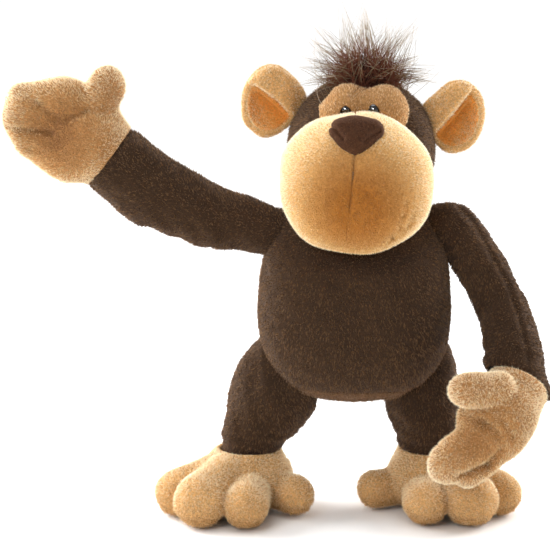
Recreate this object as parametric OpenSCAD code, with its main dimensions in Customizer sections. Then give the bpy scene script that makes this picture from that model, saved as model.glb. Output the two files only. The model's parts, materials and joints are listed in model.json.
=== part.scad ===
/* [Overall] */
// Number of facets round a preview circle
round_fn = 64; // [48:8:96]
// Thickness of the plush fabric with its backing
skin_t = 3; // [2:0.5:4]
// Gap between a fabric skin and the stuffing inside it
fill_gap = 0.3; // [0.2:0.1:0.5]
// Clearance between two pieces that turn in each other
turn_gap = 0.5; // [0.4:0.1:0.8]
// Distance from the seam line of the torso to the middle of the whole figure
figure_x = 58; // [50:0.5:65]
// Distance from the upright centre plane to the middle of the figure's depth
figure_y = 24.5; // [15:0.5:40]

/* [Torso] */
// Height of the widest line of the belly above the floor
belly_z = 165; // [160:1:170]
// Width of the belly
belly_w = 151; // [146:1:154]
// Depth of the belly from front to back
belly_d = 126; // [120:1:130]
// Height of the torso below its widest line
belly_drop = 75; // [72:1:78]
// Height of the torso above its widest line
chest_rise = 93; // [88:1:96]
// Squareness of the torso's outline, where 2 is an ellipse
torso_square = 2.6; // [2:0.1:3]
// Height of the seam of the seat panel above the floor
seat_seam_z = 101; // [98:1:106]

/* [Head] */
// Height of the head's centre above the floor
head_z = 285; // [280:1:290]
// Radius of the head ball
head_r = 58; // [55:0.5:60]
// Width of the muzzle
muzzle_w = 119; // [112:1:122]
// Depth of the muzzle ball from front to back
muzzle_d = 88; // [80:1:92]
// Height of the muzzle
muzzle_h = 99; // [92:1:104]
// Radius of an eye
eye_r = 5; // [4:0.5:6]
// Height of the hair tuft above the head ball
hair_h = 49; // [40:1:55]

/* [Ears] */
// Width of an ear
ear_w = 50; // [44:1:54]
// Height of an ear
ear_h = 58; // [50:1:62]
// Thickness of an ear
ear_d = 17; // [14:1:20]

/* [Arms] */
// Radius of the sewn ball at the shoulder
shoulder_r = 19; // [17:0.5:20]
// Radius of the raised arm's elbow
right_elbow_r = 26; // [24:0.5:28]
// Radius of the hanging arm's elbow
left_elbow_r = 20; // [19:0.5:22]
// Radius of the wrists
wrist_r = 25; // [23:0.5:26]
// Radius of the bendable wire in the arms
wire_r = 1.6; // [1.2:0.1:2]

/* [Legs] */
// Radius of the sewn ball at the hip
hip_r = 31; // [29:0.5:33]
// Radius of the ankle
ankle_r = 24; // [22:0.5:25]
// Height of the ankle above the floor
ankle_z = 40; // [38:1:42]
// Height of the seam between the sole and the upper foot
sole_seam_z = 9; // [7:1:12]

/* [Hidden] */
$fn = round_fn;

brown = "#3b2a22";
seat_brown = "#8a6b5c";
tan_plush = "#d2a36c";
cream_plush = "#e0bd8a";
ear_orange = "#d9924f";
nose_brown = "#3a2018";
hair_brown = "#4a302c";
fill_white = "#f2efe8";
bag_grey = "#b8b4ad";
wire_grey = "#9a9ca0";
eye_black = "#101010";

// Depth of inset that turns an outer form into the form of the stuffing
fill_inset = skin_t + fill_gap;
// A length that reaches past the whole figure
far = 600;

// Torso and head centres
torso_c = [4, 0, belly_z];
head_c = [8, 0, head_z];
muzzle_c = [2.6, -64, head_z - 15];
nose_c = [0.4, -92, head_z + 24];
brow_gap = 30;
eye_gap = 21;
brow_c = [7, -36, head_z + 36];
eye_c = [4.6, -50, head_z + 37.3];
hair_c = [10, -6, head_z];
neck_t = 3;
// Facets of the soft hulled forms of hands and feet
soft_fn = 14;
// Facets of the sewn forms on the head
head_fn = 24;

// Turns in degrees that the chest, the sides and the ears leave room for
neck_turn = 20;
ear_flop = 25;

// Pivots of the limbs
shoulder_right = [-62, -3, 222];
elbow_right = [-125, -3, 240];
wrist_right = [-189, -3, 278];
shoulder_left = [81, -5, 222];
elbow_left = [119, -15, 167];
wrist_left = [129.5, -60, 108];
hip_right = [-58, 8, 113];
hip_left = [56, 8, 115];
ankle_right = [-77, 0, ankle_z];
ankle_left = [62, 0, ankle_z];
ear_hinge_right = [-38, 6, 323];
ear_hinge_left = [60, 6, 313];
ear_root_r = 6;
ear_root_h = 22;

// How far a sleeve stops short of the next pivot
cuff = 18;
// Angle on the root ball, in degrees past its widest ring, where the sleeve's flank begins
lift = 50;

// Points of the right hand
palm_right = [-224, -3, 301];
fingers_right = [[-253, -5, 319], [-257, -6, 303], [-250, -5, 287]];
thumb_root_right = [-200, -5, 308];
thumb_tip_right = [-187, -6, 336];
// Points of the left hand
palm_left = [106, -83, 83];
fingers_left = [[66, -92, 58], [75, -87, 50], [78, -74, 50]];
thumb_root_left = [113, -88, 104];
thumb_tip_left = [82, -99, 115];
palm_r = 25;
finger_r = 13.5;
thumb_r = 13;

// Toes of a right foot, measured from the ankle, with the inner side towards +X
toe_tips = [[39, -44], [3, -65], [-31, -62], [-49, -38]];
toe_radii = [18, 20, 21, 18];
toe_axis_z = 15;
instep_r = 30;

// ---- Shared shapes ----

module place() {
    translate([figure_x, figure_y, 0])
        children();
}

module ellipsoid(size, inset = 0) {
    scale([size[0] / 2 - inset, size[1] / 2 - inset, size[2] / 2 - inset])
        sphere(r = 1);
}

module soft_ellipsoid(size, inset = 0) {
    // The same form in flat facets, for sewn pieces that nothing turns on
    hull()
        scale([size[0] / 2 - inset, size[1] / 2 - inset, size[2] / 2 - inset])
            sphere(r = 1, $fn = head_fn);
}

module along(start, end) {
    way = end - start;
    translate(start)
        rotate([0, acos(way[2] / norm(way)), atan2(way[1], way[0])])
            children();
}

module stuffed(points, r) {
    // A soft form stretched over balls of one radius
    hull()
        for (point = points)
            translate(point)
                sphere(r = r, $fn = soft_fn);
}

module turned_about(pivot, turn) {
    translate(pivot)
        rotate(turn)
            translate(-pivot)
                children();
}

module half_space(side, at) {
    // side is [axis number, sign]: keeps what lies on that side of the value at
    low = [for (axis = [0:2]) axis == side[0] && side[1] > 0 ? at : -far];
    high = [for (axis = [0:2]) axis == side[0] && side[1] < 0 ? at : far];
    translate(low)
        cube(high - low);
}

module wire(start, end, extra = 0) {
    along(start, end)
        cylinder(r = wire_r + extra, h = norm(end - start));
}

// ---- Torso ----

function egg_point(angle, r, low, high) = [
    r * pow(cos(angle), 2 / torso_square),
    (angle < 0 ? -low : high) * pow(abs(sin(angle)), 2 / torso_square)
];

module torso_form(inset = 0) {
    r = belly_w / 2 - inset;
    low = belly_drop - inset;
    high = chest_rise - inset;
    side = [for (angle = [-80:10:80]) egg_point(angle, r, low, high)];
    translate(torso_c)
        scale([1, belly_d / belly_w, 1])
            rotate_extrude()
                polygon(concat([[0, -low]], side, [[0, high]]));
}

module torso_seats(wall = 0) {
    // Hollows for the head, the shoulders, the hips and the chin
    translate(head_c)
        sphere(r = head_r + turn_gap + neck_t + turn_gap + wall);
    for (shoulder = [shoulder_right, shoulder_left])
        translate(shoulder)
            sphere(r = shoulder_r + turn_gap + wall);
    for (hip = [hip_right, hip_left])
        translate(hip)
            sphere(r = hip_r + turn_gap + wall);
    chin_room(wall);
}

module chin_room(wall = 0) {
    // Room for the muzzle to turn and nod over the chest
    for (turn = [-neck_turn, 0, neck_turn])
        translate(head_c)
            rotate([0, 0, turn])
                translate(muzzle_c - head_c)
                    ellipsoid([muzzle_w, muzzle_d, muzzle_h], -10 - wall);
}

module torso_skin() {
    difference() {
        torso_form();
        torso_seats();
        difference() {
            torso_form(skin_t);
            torso_seats(skin_t);
        }
    }
}

module torso_front() {
    color(brown)
        place()
            intersection() {
                torso_skin();
                half_space([1, -1], 0);
                half_space([2, 1], seat_seam_z);
            }
}

module torso_back() {
    color(brown)
        place()
            intersection() {
                torso_skin();
                half_space([1, 1], 0);
                half_space([2, 1], seat_seam_z);
            }
}

module seat_panel() {
    color(seat_brown)
        place()
            intersection() {
                torso_skin();
                half_space([2, -1], seat_seam_z);
            }
}

module seat_bag_form(inset = 0) {
    translate([0, 2, seat_seam_z + 16])
        ellipsoid([36, 54, 20], inset);
}

module shoulder_wire_form(extra = 0) {
    wire(shoulder_right + [22, 0, -14], shoulder_left - [22, 0, 14], extra);
}

module torso_stuffing() {
    color(fill_white)
        place()
            difference() {
                torso_form(fill_inset);
                torso_seats(fill_inset);
                seat_bag_form(-fill_gap);
                shoulder_wire_form(0.1);
            }
}

module seat_bean_bag() {
    color(bag_grey)
        place()
            seat_bag_form();
}

module shoulder_wire() {
    color(wire_grey)
        place()
            shoulder_wire_form();
}

// ---- Neck ----

function arc_points(r, from, to) = [for (angle = [from:(to - from) / 8:to]) [r * cos(angle), r * sin(angle)]];

module neck_dish(from, to) {
    // A piece of a spherical dish under the head, between two angles from the level
    low = head_r + turn_gap;
    translate(head_c)
        rotate_extrude()
            polygon(concat(arc_points(low, from, to), arc_points(low + neck_t, to, from)));
}

module neck_ring() {
    color(brown)
        place()
            neck_dish(-65, -75);
}

module neck_stuffing() {
    color(fill_white)
        place()
            neck_dish(-76, -90);
}

// ---- Head ----

module head_ball(inset = 0) {
    // The poles of the ball point left and right, so its edge line clears the seam
    translate(head_c)
        rotate([0, 90, 0])
            sphere(r = head_r - inset);
}

module muzzle_form(inset = 0) {
    translate(muzzle_c)
        soft_ellipsoid([muzzle_w, muzzle_d, muzzle_h], inset);
}

module brow_form() {
    for (side = [-1, 1])
        translate(brow_c + [side * brow_gap / 2, 0, 0])
            soft_ellipsoid([40, 36, 40]);
}

module eye_pocket(side) {
    // The hollow that an eye sits in, open to the front
    at = eye_c + [side * eye_gap / 2, 0, 0];
    translate(at - [0, far, 0])
        rotate([-90, 0, 0])
            cylinder(r = eye_r + 0.1, h = far + eye_r + 0.1);
    translate(at)
        rotate([-90, 0, 0])
            cylinder(r = 1.6, h = 24);
}

module eye_form(side, extra = 0) {
    at = eye_c + [side * eye_gap / 2, 0, 0];
    translate(at)
        sphere(r = eye_r + extra);
    translate(at)
        rotate([-90, 0, 0])
            cylinder(r = 1.5 + extra, h = 24);
}

module washer_form(side, extra = 0) {
    translate(eye_c + [side * eye_gap / 2, 20.2 - extra, 0])
        rotate([-90, 0, 0])
            cylinder(r = 6 + extra, h = 1.5 + 2 * extra);
}

module ear_recess() {
    for (hinge = [ear_hinge_right, ear_hinge_left])
        translate(hinge - [0, 0, ear_root_h / 2 + turn_gap])
            cylinder(r = ear_root_r + turn_gap, h = ear_root_h + 2 * turn_gap);
}

module head_side(side) {
    color(brown)
        place()
            difference() {
                intersection() {
                    head_ball();
                    half_space([0, side], head_c[0]);
                }
                head_ball(skin_t);
                ear_recess();
                for (eye = [-1, 1])
                    eye_form(eye, 0.1);
            }
}

module head_side_right() {
    head_side(-1);
}

module head_side_left() {
    head_side(1);
}

module face_panel() {
    color(tan_plush)
        place()
            difference() {
                brow_form();
                head_ball();
                muzzle_form();
                for (eye = [-1, 1])
                    eye_pocket(eye);
            }
}

module muzzle_seam() {
    // Everything in front of the sloping seam round the chin
    translate([0, muzzle_c[1] - 20, muzzle_c[2] - muzzle_h / 2])
        rotate([-30, 0, 0])
            half_space([1, -1], 0);
}

module muzzle_skin() {
    difference() {
        muzzle_form();
        muzzle_form(skin_t);
        head_ball();
    }
}

module muzzle_half(side) {
    color(cream_plush)
        place()
            intersection() {
                muzzle_skin();
                muzzle_seam();
                half_space([0, side], muzzle_c[0]);
            }
}

module muzzle_right() {
    muzzle_half(-1);
}

module muzzle_left() {
    muzzle_half(1);
}

module chin_panel() {
    color(cream_plush)
        place()
            difference() {
                muzzle_skin();
                muzzle_seam();
            }
}

module nose() {
    color(nose_brown)
        place()
            difference() {
                translate(nose_c)
                    rotate([-38, 0, 0])
                        soft_ellipsoid([42, 18, 29]);
                muzzle_form();
            }
}

module eye(side) {
    color(eye_black)
        place()
            eye_form(side);
}

module eye_right() {
    eye(-1);
}

module eye_left() {
    eye(1);
}

module eye_washer(side) {
    color(fill_white)
        place()
            difference() {
                washer_form(side);
                eye_form(side, 0.05);
            }
}

module eye_washer_right() {
    eye_washer(-1);
}

module eye_washer_left() {
    eye_washer(1);
}

module head_stuffing() {
    color(fill_white)
        place()
            difference() {
                head_ball(fill_inset);
                ear_recess();
                for (side = [-1, 1]) {
                    eye_form(side, 0.1);
                    washer_form(side, 0.2);
                }
            }
}

module muzzle_stuffing() {
    color(fill_white)
        place()
            difference() {
                muzzle_form(fill_inset);
                head_ball();
            }
}

module hair_tuft() {
    root = head_r - 6;
    top = head_r + hair_h;
    color(hair_brown)
        place()
            difference() {
                translate(hair_c)
                    rotate_extrude()
                        polygon([
                            [0, root],
                            [12, root],
                            [18, root + 16],
                            [34, top - 16],
                            [28, top - 4],
                            [0, top]
                        ]);
                head_ball(-0.2);
            }
}

// ---- Ears ----

module ear_place(side) {
    translate(side < 0 ? ear_hinge_right : ear_hinge_left)
        mirror([side < 0 ? 1 : 0, 0, 0])
            children();
}

module ear_bowl(extra = 0) {
    translate([ear_w / 2, -ear_d * 0.4, 1])
        soft_ellipsoid([ear_w - 8, ear_d - 2, ear_h - 8], -extra);
}

module ear_sweep(side) {
    // The head as the ear meets it while it flops forwards and backwards
    hinge = side < 0 ? ear_hinge_right : ear_hinge_left;
    for (flop = [-ear_flop, 0, ear_flop])
        turned_about(hinge, [0, 0, flop])
            head_ball(-1.6);
}

module ear_back(side) {
    color(tan_plush)
        place() {
            difference() {
                ear_place(side)
                    difference() {
                        translate([ear_w / 2, 0, 0])
                            soft_ellipsoid([ear_w, ear_d, ear_h]);
                        ear_bowl();
                    }
                ear_sweep(side);
            }
            ear_place(side)
                translate([0, 0, -ear_root_h / 2])
                    cylinder(r = ear_root_r, h = ear_root_h);
        }
}

module ear_inner(side) {
    color(ear_orange)
        place()
            difference() {
                ear_place(side)
                    difference() {
                        intersection() {
                            ear_bowl(-0.1);
                            half_space([1, 1], -ear_d * 0.45);
                        }
                        translate([0, -2.5, 0])
                            ear_bowl(-0.1);
                        translate([0, 0, -ear_root_h])
                            cylinder(r = ear_root_r + 0.1, h = 2 * ear_root_h);
                    }
                ear_sweep(side);
            }
}

module ear_back_right() {
    ear_back(-1);
}

module ear_inner_right() {
    ear_inner(-1);
}

module ear_back_left() {
    ear_back(1);
}

module ear_inner_left() {
    ear_inner(1);
}

// ---- Limbs ----

function sleeve_r(t, start_r, mid_r, end_r) =
    start_r * (1 - t) * (1 - 2 * t) + 4 * mid_r * t * (1 - t) + end_r * t * (2 * t - 1);

module sleeve_form(start, end, ball_r, mid_r, end_r, next_r, inset = 0) {
    // A stuffed sleeve with a ball at its start. Its outside runs on as a cuff round the next ball,
    // and its filling stops flat in front of that ball.
    r = ball_r - inset;
    flank_s = ball_r * sin(lift);
    cuff_s = norm(end - start) - cuff;
    close_s = inset > 0 ? cuff_s + cuff - next_r - turn_gap - inset : cuff_s;
    ball = [for (angle = [-75:15:lift - 5]) [r * cos(angle), r * sin(angle)]];
    flank = [for (part = [0:0.125:1])
        let (s = flank_s + (close_s - flank_s) * part, t = (s - flank_s) / (cuff_s - flank_s))
            [sleeve_r(t, ball_r * cos(lift), mid_r, end_r) - inset, s]];
    along(start, end)
        rotate_extrude()
            polygon(concat([[0, -r]], ball, flank, [[0, close_s]]));
}

module sleeve_skin(end, next_r) {
    // Turns an outer and an inner form into a skin with a seat for the next ball
    difference() {
        children(0);
        translate(end)
            sphere(r = next_r + turn_gap);
        children(1);
    }
}

module arm_wire_form(start, end, ball_r, next_r, extra = 0) {
    way = (end - start) / norm(end - start);
    wire(start - way * (ball_r - 8), end - way * (next_r + 8), extra);
}

module upper_form_right(inset = 0) {
    sleeve_form(shoulder_right, elbow_right, shoulder_r, 22, 24, right_elbow_r, inset);
}

module upper_form_left(inset = 0) {
    sleeve_form(shoulder_left, elbow_left, shoulder_r, 20, 19.5, left_elbow_r, inset);
}

module upper_sleeve_right() {
    color(brown)
        place()
            sleeve_skin(elbow_right, right_elbow_r) {
                upper_form_right();
                upper_form_right(skin_t);
            }
}

module upper_wire_form_right(extra = 0) {
    arm_wire_form(shoulder_right, elbow_right, shoulder_r, right_elbow_r, extra);
}

module upper_stuffing_right() {
    color(fill_white)
        place()
            difference() {
                upper_form_right(fill_inset);
                upper_wire_form_right(0.1);
            }
}

module upper_wire_right() {
    color(wire_grey)
        place()
            upper_wire_form_right();
}

module fore_form_right(inset = 0) {
    sleeve_form(elbow_right, wrist_right, right_elbow_r, 29, 26, wrist_r, inset);
}

module fore_form_left(inset = 0) {
    sleeve_form(elbow_left, wrist_left, left_elbow_r, 22, 25.5, wrist_r, inset);
}

module fore_sleeve_right() {
    color(brown)
        place()
            sleeve_skin(wrist_right, wrist_r) {
                fore_form_right();
                fore_form_right(skin_t);
            }
}

module fore_wire_form_right(extra = 0) {
    arm_wire_form(elbow_right, wrist_right, right_elbow_r, wrist_r, extra);
}

module fore_stuffing_right() {
    color(fill_white)
        place()
            difference() {
                fore_form_right(fill_inset);
                fore_wire_form_right(0.1);
            }
}

module fore_wire_right() {
    color(wire_grey)
        place()
            fore_wire_form_right();
}

module upper_sleeve_left() {
    color(brown)
        place()
            sleeve_skin(elbow_left, left_elbow_r) {
                upper_form_left();
                upper_form_left(skin_t);
            }
}

module upper_wire_form_left(extra = 0) {
    arm_wire_form(shoulder_left, elbow_left, shoulder_r, left_elbow_r, extra);
}

module upper_stuffing_left() {
    color(fill_white)
        place()
            difference() {
                upper_form_left(fill_inset);
                upper_wire_form_left(0.1);
            }
}

module upper_wire_left() {
    color(wire_grey)
        place()
            upper_wire_form_left();
}

module fore_sleeve_left() {
    color(brown)
        place()
            sleeve_skin(wrist_left, wrist_r) {
                fore_form_left();
                fore_form_left(skin_t);
            }
}

module fore_wire_form_left(extra = 0) {
    arm_wire_form(elbow_left, wrist_left, left_elbow_r, wrist_r, extra);
}

module fore_stuffing_left() {
    color(fill_white)
        place()
            difference() {
                fore_form_left(fill_inset);
                fore_wire_form_left(0.1);
            }
}

module fore_wire_left() {
    color(wire_grey)
        place()
            fore_wire_form_left();
}

// ---- Hands ----

module hand_form_right(inset = 0) {
    stuffed([wrist_right], wrist_r - inset);
    stuffed([for (x = [-13, 13], z = [-9, 9]) palm_right + [x, 0, z]], palm_r - inset);
    for (tip = fingers_right)
        stuffed([palm_right, tip], finger_r - inset);
    stuffed([thumb_root_right, thumb_tip_right], thumb_r - inset);
}

module hand_form_left(inset = 0) {
    stuffed([wrist_left, palm_left], palm_r - inset);
    for (tip = fingers_left)
        stuffed([palm_left - [2, 2, 14], tip], finger_r - inset);
    stuffed([thumb_root_left, thumb_tip_left], thumb_r - inset);
}

module hand_wire_form_right(extra = 0) {
    wire(wrist_right, palm_right, extra);
    translate(palm_right - [17, 0, -2])
        rotate([90, 0, 0])
            wire_loop(extra);
}

module hand_wire_form_left(extra = 0) {
    way = (palm_left - wrist_left) / norm(palm_left - wrist_left);
    wire(wrist_left, palm_left - way * 8, extra);
    along(palm_left, palm_left + way)
        rotate([0, 90, 0])
            wire_loop(extra, 8);
}

module wire_loop(extra = 0, r = 17) {
    rotate_extrude()
        translate([r, 0])
            circle(r = wire_r + extra, $fn = 24);
}

module hand_palm_right() {
    color(tan_plush)
        place()
            intersection() {
                difference() {
                    hand_form_right();
                    hand_form_right(skin_t);
                }
                half_space([1, -1], palm_right[1]);
            }
}

module hand_back_right() {
    color(tan_plush)
        place()
            intersection() {
                difference() {
                    hand_form_right();
                    hand_form_right(skin_t);
                }
                half_space([1, 1], palm_right[1]);
            }
}

module hand_stuffing_right() {
    color(fill_white)
        place()
            difference() {
                hand_form_right(fill_inset);
                hand_wire_form_right(0.1);
            }
}

module hand_wire_right() {
    color(wire_grey)
        place()
            hand_wire_form_right();
}

module hand_palm_left() {
    color(tan_plush)
        place()
            intersection() {
                difference() {
                    hand_form_left();
                    hand_form_left(skin_t);
                }
                half_space([1, 1], palm_left[1]);
            }
}

module hand_back_left() {
    color(tan_plush)
        place()
            intersection() {
                difference() {
                    hand_form_left();
                    hand_form_left(skin_t);
                }
                half_space([1, -1], palm_left[1]);
            }
}

module hand_stuffing_left() {
    color(fill_white)
        place()
            difference() {
                hand_form_left(fill_inset);
                hand_wire_form_left(0.1);
            }
}

module hand_wire_left() {
    color(wire_grey)
        place()
            hand_wire_form_left();
}

// ---- Legs and feet ----

module leg_form(hip, ankle, inset = 0) {
    sleeve_form(hip, ankle, hip_r, 26, 25, ankle_r, inset);
}

module leg_sleeve(hip, ankle) {
    color(brown)
        place()
            sleeve_skin(ankle, ankle_r) {
                leg_form(hip, ankle);
                leg_form(hip, ankle, skin_t);
            }
}

module leg_stuffing(hip, ankle) {
    color(fill_white)
        place()
            leg_form(hip, ankle, fill_inset);
}

module foot_place(side) {
    ankle = side < 0 ? ankle_right : ankle_left;
    translate([ankle[0], ankle[1], 0])
        mirror([side < 0 ? 0 : 1, 0, 0])
            children();
}

module foot_form(inset = 0) {
    instep = [-7, -18, toe_axis_z];
    intersection() {
        union() {
            stuffed([[0, 0, ankle_z]], ankle_r - inset);
            stuffed([for (x = [-17, 17], y = [-13, 11]) instep + [x, y, 4]], instep_r - inset);
            for (i = [0:3])
                stuffed([instep, [toe_tips[i][0], toe_tips[i][1], toe_axis_z]], toe_radii[i] - inset);
        }
        half_space([2, 1], inset);
    }
}

module foot_skin() {
    difference() {
        foot_form();
        foot_form(skin_t);
    }
}

module foot_bag_form(inset = 0) {
    translate([-7, -20, sole_seam_z + 4])
        ellipsoid([64, 56, 15], inset);
}

module foot_upper(side) {
    color(tan_plush)
        place()
            foot_place(side)
                intersection() {
                    foot_skin();
                    half_space([2, 1], sole_seam_z);
                }
}

module foot_sole(side) {
    color(tan_plush)
        place()
            foot_place(side)
                intersection() {
                    foot_skin();
                    half_space([2, -1], sole_seam_z);
                }
}

module foot_stuffing(side) {
    color(fill_white)
        place()
            foot_place(side)
                difference() {
                    foot_form(fill_inset);
                    foot_bag_form(-fill_gap);
                }
}

module foot_bean_bag(side) {
    color(bag_grey)
        place()
            foot_place(side)
                foot_bag_form();
}

module leg_sleeve_right() {
    leg_sleeve(hip_right, ankle_right);
}

module leg_stuffing_right() {
    leg_stuffing(hip_right, ankle_right);
}

module leg_sleeve_left() {
    leg_sleeve(hip_left, ankle_left);
}

module leg_stuffing_left() {
    leg_stuffing(hip_left, ankle_left);
}

module foot_upper_right() {
    foot_upper(-1);
}

module foot_upper_left() {
    foot_upper(1);
}

module foot_sole_right() {
    foot_sole(-1);
}

module foot_sole_left() {
    foot_sole(1);
}

module foot_stuffing_right() {
    foot_stuffing(-1);
}

module foot_stuffing_left() {
    foot_stuffing(1);
}

module foot_bean_bag_right() {
    foot_bean_bag(-1);
}

module foot_bean_bag_left() {
    foot_bean_bag(1);
}

torso_front();
torso_back();
seat_panel();
torso_stuffing();
seat_bean_bag();
shoulder_wire();
neck_ring();
neck_stuffing();
head_side_right();
head_side_left();
face_panel();
muzzle_right();
muzzle_left();
chin_panel();
nose();
eye_right();
eye_left();
eye_washer_right();
eye_washer_left();
head_stuffing();
muzzle_stuffing();
hair_tuft();
ear_back_right();
ear_inner_right();
ear_back_left();
ear_inner_left();
upper_sleeve_right();
upper_stuffing_right();
upper_wire_right();
fore_sleeve_right();
fore_stuffing_right();
fore_wire_right();
hand_palm_right();
hand_back_right();
hand_stuffing_right();
hand_wire_right();
upper_sleeve_left();
upper_stuffing_left();
upper_wire_left();
fore_sleeve_left();
fore_stuffing_left();
fore_wire_left();
hand_palm_left();
hand_back_left();
hand_stuffing_left();
hand_wire_left();
leg_sleeve_right();
leg_stuffing_right();
foot_upper_right();
foot_sole_right();
foot_stuffing_right();
foot_bean_bag_right();
leg_sleeve_left();
leg_stuffing_left();
foot_upper_left();
foot_sole_left();
foot_stuffing_left();
foot_bean_bag_left();
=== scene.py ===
import json
import math

import bpy
import numpy as np
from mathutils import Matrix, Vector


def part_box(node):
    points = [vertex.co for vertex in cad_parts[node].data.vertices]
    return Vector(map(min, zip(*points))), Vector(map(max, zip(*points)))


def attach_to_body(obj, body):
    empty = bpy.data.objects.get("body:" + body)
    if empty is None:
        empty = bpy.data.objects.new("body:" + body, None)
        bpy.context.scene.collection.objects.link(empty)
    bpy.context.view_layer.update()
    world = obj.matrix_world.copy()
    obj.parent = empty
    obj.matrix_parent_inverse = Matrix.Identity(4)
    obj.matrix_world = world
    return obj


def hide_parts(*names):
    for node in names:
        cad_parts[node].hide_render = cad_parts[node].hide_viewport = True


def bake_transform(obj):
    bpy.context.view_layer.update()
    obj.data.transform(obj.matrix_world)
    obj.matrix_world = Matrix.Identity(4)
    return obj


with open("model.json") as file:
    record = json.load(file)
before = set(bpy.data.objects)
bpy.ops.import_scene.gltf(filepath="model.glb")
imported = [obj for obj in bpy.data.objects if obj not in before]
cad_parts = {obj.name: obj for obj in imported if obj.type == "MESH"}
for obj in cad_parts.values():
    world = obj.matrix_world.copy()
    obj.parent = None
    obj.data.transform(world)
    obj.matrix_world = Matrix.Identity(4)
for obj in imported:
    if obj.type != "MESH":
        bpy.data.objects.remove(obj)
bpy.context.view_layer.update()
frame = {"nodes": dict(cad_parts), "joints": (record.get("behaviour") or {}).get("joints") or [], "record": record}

import openvdb as vdb
from mathutils import Vector

# All shapes are worked out in millimetres in the figure's own coordinates, which the
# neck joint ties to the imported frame, and are moved and scaled as a mesh is made.
PIVOT = {j["name"]: np.array(j["pos_m"]) * 1000 for j in frame["joints"]}
NECK = np.array([8.0, 0, 285])
HOME = PIVOT["neck_turn"] - NECK
PIVOT = {name: at - HOME for name, at in PIVOT.items()}
UNDER = 1.7          # how far the backing cloth lies under the tips of its pile
GAP = -0.5           # a closed seam: each piece runs this far past it into the other
SEED = 724


def vec(*c):
    return np.array(c, float)


def middle(*nodes):
    """Centre and half size, in figure millimetres, of the box round some CAD nodes."""
    corners = [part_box(n) for n in nodes]
    low = np.min([np.array(c[0]) for c in corners], axis=0) * 1000 - HOME
    high = np.max([np.array(c[1]) for c in corners], axis=0) * 1000 - HOME
    return (low + high) / 2, (high - low) / 2


# ---------------------------------------------------------------- distance fields
# A form is a function of p = (x, y, z) arrays; it is negative inside the shape.
def ramp(low, high, v):
    t = np.clip((v - low) / (high - low), 0, 1)
    return t * t * (3 - 2 * t)


def join(a, b, k):
    h = np.clip(0.5 + 0.5 * (b - a) / k, 0, 1)
    return b * (1 - h) + a * h - k * h * (1 - h)


def meet(a, b, k):
    return -join(-a, -b, k)


def turned(p, c, axis, angle):
    """p in the axes of a shape at c that is turned by angle degrees about X, Y or Z."""
    q = [p[i] - c[i] for i in range(3)]
    a, b = {"X": (1, 2), "Y": (2, 0), "Z": (0, 1)}[axis]
    cs, sn = math.cos(math.radians(angle)), math.sin(math.radians(angle))
    q[a], q[b] = q[a] * cs + q[b] * sn, q[b] * cs - q[a] * sn
    return q


def egg(q, h):
    k0 = np.sqrt(sum((q[i] / h[i]) ** 2 for i in range(3)))
    k1 = np.sqrt(sum((q[i] / h[i] ** 2) ** 2 for i in range(3)))
    return k0 * (k0 - 1) / np.maximum(k1, 1e-6)


def cushion(q, h, n):
    """An egg with squarer shoulders: the power n is 2 for an ellipsoid."""
    u = [np.maximum(np.abs(q[i]) / h[i], 1e-6) for i in range(3)]
    f = sum(v ** n for v in u) ** (1 / n)
    slope = f ** (1 - n) * np.sqrt(sum((u[i] ** (n - 1) / h[i]) ** 2 for i in range(3)))
    return (f - 1) / np.maximum(slope, 1e-4)


def rod(p, a, b, ra, rb):
    ab = b - a
    t = sum((p[i] - a[i]) * ab[i] for i in range(3)) / float(ab @ ab)
    t = np.clip(t, 0, 1)
    d = np.sqrt(sum((p[i] - a[i] - ab[i] * t) ** 2 for i in range(3)))
    return d - (ra + (rb - ra) * t)


def spline(points, steps=6):
    """Points of a smooth curve through the given points (any width of rows)."""
    pts = np.array(points, float)
    ext = np.vstack([2 * pts[0] - pts[1], pts, 2 * pts[-1] - pts[-2]])
    out = []
    for i in range(len(pts) - 1):
        a, b, c, d = ext[i:i + 4]
        for t in np.arange(steps) / steps:
            out.append(0.5 * (2 * b + (c - a) * t + (2 * a - 5 * b + 4 * c - d) * t * t
                              + (3 * b - a - 3 * c + d) * t ** 3))
    return np.vstack(out + [pts[-1]])


def limb(p, rows):
    """A tube along a smooth curve; a row is x, y, z, radius."""
    curve = spline(rows)
    d = None
    for a, b in zip(curve[:-1], curve[1:]):
        e = rod(p, a[:3], b[:3], a[3], b[3])
        d = e if d is None else np.minimum(d, e)
    return d


def lumps(p, size, height, seed):
    rng = np.random.default_rng(seed)
    total = 0
    for _ in range(7):
        k = rng.normal(size=3)
        k *= 2 * math.pi / (np.linalg.norm(k) * size * rng.uniform(0.7, 1.5))
        total = total + np.sin(k[0] * p[0] + k[1] * p[1] + k[2] * p[2] + rng.uniform(0, 6.28))
    return total * height / 2.6


def groove(s, depth, width):
    return depth * np.exp(-(s / width) ** 2)


def along(p, a, b):
    """Distance from the segment a-b seen from the front, in X and Z only."""
    abx, abz = b[0] - a[0], b[1] - a[1]
    t = np.clip(((p[0] - a[0]) * abx + (p[2] - a[1]) * abz) / (abx * abx + abz * abz), 0, 1)
    return np.sqrt((p[0] - a[0] - abx * t) ** 2 + (p[2] - a[1] - abz * t) ** 2)


def plane(p, at, way):
    way = np.array(way, float) / np.linalg.norm(way)
    return sum((p[i] - at[i]) * way[i] for i in range(3))


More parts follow.
